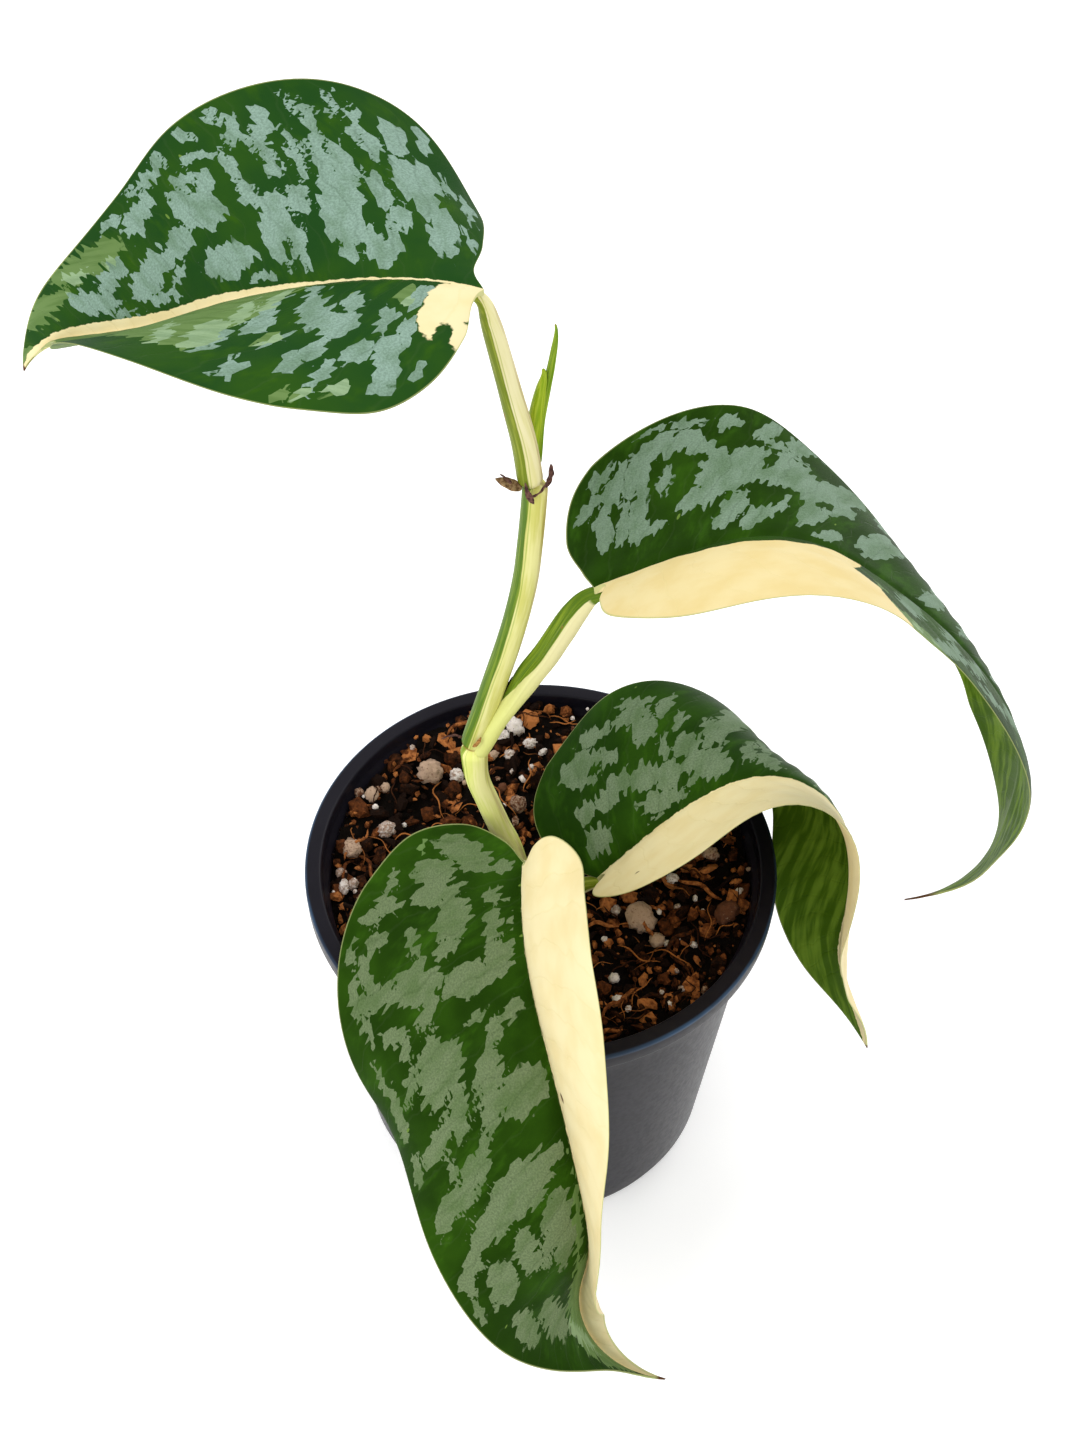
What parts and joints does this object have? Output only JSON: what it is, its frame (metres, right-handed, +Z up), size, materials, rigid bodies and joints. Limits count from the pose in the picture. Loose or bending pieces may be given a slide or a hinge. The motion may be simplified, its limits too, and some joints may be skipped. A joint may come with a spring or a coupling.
{
  "type": "potted lakambini scindapsus",
  "caption": "Young climbing aroid with long half-green, half-cream arching leaves and silver patches, rooted in a round black nursery pot of bark mix.",
  "frame": {"origin": "middle of the pot's underside, on the surface that it stands on", "axes": "+Z up; -Y towards the viewer of the picture; +X to the viewer's right"},
  "size_m": [0.2167, 0.1691, 0.2729],
  "materials": {
    "pot_plastic": "satin charcoal black, moulded",
    "potting_mix": "dark bark and coir crumbs with white perlite and tan grains",
    "stem_skin": "waxy yellow-green skin with cream, a dark green stripe and rust flecks",
    "petiole_skin": "waxy ivory skin with green bands",
    "leaf_blade": "satin dark green with silver patches, and butter-cream sectors",
    "shoot_skin": "glossy bright green rolled leaf",
    "dry_husk": "matt brown dried sheath"
  },
  "bodies": {
    "root": {"pot": "pot_plastic", "potting_mix": "potting_mix", "stem": "stem_skin", "petiole_1": "petiole_skin", "petiole_2": "petiole_skin", "petiole_3": "petiole_skin", "petiole_4": "petiole_skin", "leaf_1": "leaf_blade", "leaf_2": "leaf_blade", "leaf_3": "leaf_blade", "leaf_4": "leaf_blade", "new_shoot": "shoot_skin", "dried_sheath": "dry_husk"}
  },
  "joints": []
}
